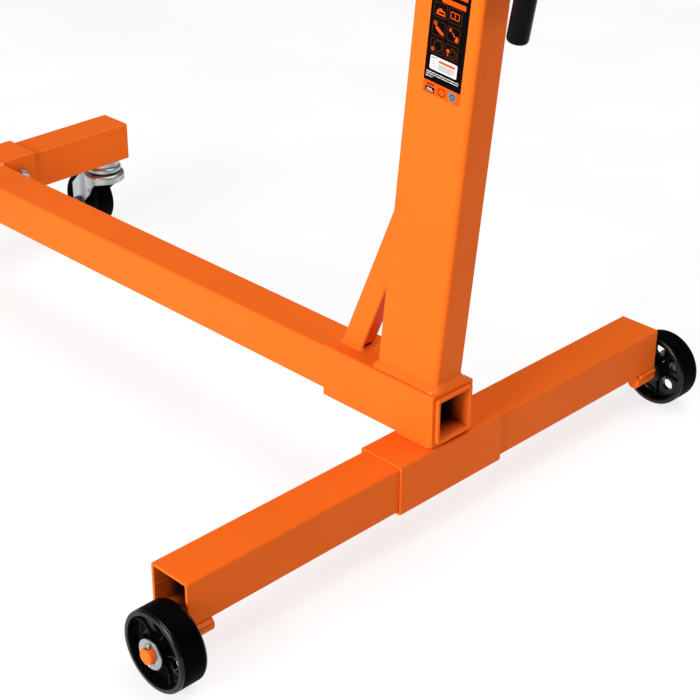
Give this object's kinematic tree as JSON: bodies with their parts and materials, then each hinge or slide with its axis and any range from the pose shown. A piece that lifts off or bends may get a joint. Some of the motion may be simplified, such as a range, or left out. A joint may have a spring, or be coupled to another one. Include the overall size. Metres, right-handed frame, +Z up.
{
  "type": "engine stand",
  "caption": "Rolling engine stand with a square-tube base, leaning braced post, rotating mounting head with adjustable arms, sliding handle, lock pin, fixed rear wheels and swivel casters.",
  "frame": {"origin": "on the ground, under the middle of the stand's bounding box", "axes": "+Y from the handle towards the engine and the swivel casters, +X to the stand's right, +Z up"},
  "size_m": [0.784, 1.0277, 0.8974],
  "materials": {
    "orange_paint": "gloss powder coat",
    "zinc_plate": "bright zinc plating",
    "dark_steel": "plain steel, slightly oily",
    "black_wheel": "gloss black enamel",
    "black_rubber": "matt moulded"
  },
  "bodies": {
    "base": {"brace": "orange_paint", "caster_king_bolt_left": "zinc_plate", "caster_king_bolt_right": "zinc_plate", "caster_race_left": "zinc_plate", "caster_race_right": "zinc_plate", "caster_stem_nut_left": "zinc_plate", "caster_stem_nut_right": "zinc_plate", "centre_beam": "orange_paint", "centre_set_bolt": "zinc_plate", "centre_sleeve": "orange_paint", "front_bolt_left": "zinc_plate", "front_bolt_right": "zinc_plate", "front_cross_sleeve": "orange_paint", "front_cross_tube": "orange_paint", "front_nut_left": "zinc_plate", "front_nut_right": "zinc_plate", "head_gusset": "orange_paint", "head_tube": "orange_paint", "lock_pin_guide": "orange_paint", "post": "orange_paint", "rear_axle_left": "orange_paint", "rear_axle_right": "orange_paint", "rear_cotter_left": "zinc_plate", "rear_cotter_right": "zinc_plate", "rear_cross_sleeve": "orange_paint", "rear_cross_tube": "orange_paint", "rear_set_bolt_left": "zinc_plate", "rear_set_bolt_right": "zinc_plate", "rear_washer_left": "zinc_plate", "rear_washer_right": "zinc_plate"},
    "rear_wheel_left": {"rear_wheel_left": "black_wheel"},
    "caster_swivel_left": {"caster_fork_left": "zinc_plate", "caster_axle_bolt_left": "dark_steel", "caster_axle_nut_left": "dark_steel"},
    "caster_wheel_left": {"caster_wheel_left": "black_wheel"},
    "rear_wheel_right": {"rear_wheel_right": "black_wheel"},
    "caster_swivel_right": {"caster_fork_right": "zinc_plate", "caster_axle_bolt_right": "dark_steel", "caster_axle_nut_right": "dark_steel"},
    "caster_wheel_right": {"caster_wheel_right": "black_wheel"},
    "head": {"head_shaft": "orange_paint", "mount_plate": "orange_paint", "shaft_collar": "orange_paint"},
    "handle": {"handle_bar": "zinc_plate", "handle_grip_upper": "black_rubber", "handle_grip_lower": "black_rubber"},
    "lock_pin": {"lock_pin": "zinc_plate", "lock_pin_knob": "black_rubber"},
    "clamp_right_top": {"clamp_bolt_right_top": "zinc_plate", "clamp_nut_right_top": "zinc_plate"},
    "arm_right_top": {"mounting_arm_right_top": "orange_paint"},
    "clamp_left_top": {"clamp_bolt_left_top": "zinc_plate", "clamp_nut_left_top": "zinc_plate"},
    "arm_left_top": {"mounting_arm_left_top": "orange_paint"},
    "clamp_left_bottom": {"clamp_bolt_left_bottom": "zinc_plate", "clamp_nut_left_bottom": "zinc_plate"},
    "arm_left_bottom": {"mounting_arm_left_bottom": "orange_paint"},
    "clamp_right_bottom": {"clamp_bolt_right_bottom": "zinc_plate", "clamp_nut_right_bottom": "zinc_plate"},
    "arm_right_bottom": {"mounting_arm_right_bottom": "orange_paint"}
  },
  "joints": [
    {"name": "rear_wheel_left_spin", "type": "hinge", "parent": "base", "child": "rear_wheel_left", "pos_m": [-0.368, -0.38055, 0.041], "axis": [1, 0, 0], "continuous": true},
    {"name": "caster_left_swivel", "type": "hinge", "parent": "base", "child": "caster_swivel_left", "pos_m": [-0.203, 0.43985, 0], "axis": [0, 0, 1], "continuous": true},
    {"name": "caster_wheel_left_spin", "type": "hinge", "parent": "caster_swivel_left", "child": "caster_wheel_left", "pos_m": [-0.203, 0.47585, 0.038], "axis": [1, 0, 0], "continuous": true},
    {"name": "rear_wheel_right_spin", "type": "hinge", "parent": "base", "child": "rear_wheel_right", "pos_m": [0.368, -0.38055, 0.041], "axis": [1, 0, 0], "continuous": true},
    {"name": "caster_right_swivel", "type": "hinge", "parent": "base", "child": "caster_swivel_right", "pos_m": [0.203, 0.43985, 0], "axis": [0, 0, 1], "continuous": true},
    {"name": "caster_wheel_right_spin", "type": "hinge", "parent": "caster_swivel_right", "child": "caster_wheel_right", "pos_m": [0.203, 0.47585, 0.038], "axis": [1, 0, 0], "continuous": true},
    {"name": "head_turn", "type": "hinge", "parent": "base", "child": "head", "pos_m": [0, -0.39996, 0.73385], "axis": [0, 0.9947, 0.1028], "continuous": true},
    {"name": "handle_slide", "type": "slide", "parent": "head", "child": "handle", "axis": [0, -0.1736, 0.9848], "range_m": [0, 0.057]},
    {"name": "lock_pin_slide", "type": "slide", "parent": "base", "child": "lock_pin", "axis": [0, 0.9947, 0.1028], "range_m": [0, 0.013]},
    {"name": "arm_right_top_swing", "type": "hinge", "parent": "head", "child": "clamp_right_top", "pos_m": [0.072, -0.31485, 0.81503], "axis": [0, 0.9947, 0.1028], "range_deg": [-45, 45]},
    {"name": "arm_right_top_reach", "type": "slide", "parent": "clamp_right_top", "child": "arm_right_top", "axis": [0.7071, -0.0727, 0.7034], "range_m": [0, 0.045]},
    {"name": "arm_left_top_swing", "type": "hinge", "parent": "head", "child": "clamp_left_top", "pos_m": [-0.072, -0.31485, 0.81503], "axis": [0, 0.9947, 0.1028], "range_deg": [-45, 45]},
    {"name": "arm_left_top_reach", "type": "slide", "parent": "clamp_left_top", "child": "arm_left_top", "axis": [-0.7071, -0.0727, 0.7034], "range_m": [0, 0.045]},
    {"name": "arm_left_bottom_swing", "type": "hinge", "parent": "head", "child": "clamp_left_bottom", "pos_m": [-0.072, -0.30005, 0.6718], "axis": [0, 0.9947, 0.1028], "range_deg": [-45, 45]},
    {"name": "arm_left_bottom_reach", "type": "slide", "parent": "clamp_left_bottom", "child": "arm_left_bottom", "axis": [-0.7071, 0.0727, -0.7034], "range_m": [0, 0.045]},
    {"name": "arm_right_bottom_swing", "type": "hinge", "parent": "head", "child": "clamp_right_bottom", "pos_m": [0.072, -0.30005, 0.6718], "axis": [0, 0.9947, 0.1028], "range_deg": [-45, 45]},
    {"name": "arm_right_bottom_reach", "type": "slide", "parent": "clamp_right_bottom", "child": "arm_right_bottom", "axis": [0.7071, 0.0727, -0.7034], "range_m": [0, 0.045]}
  ]
}
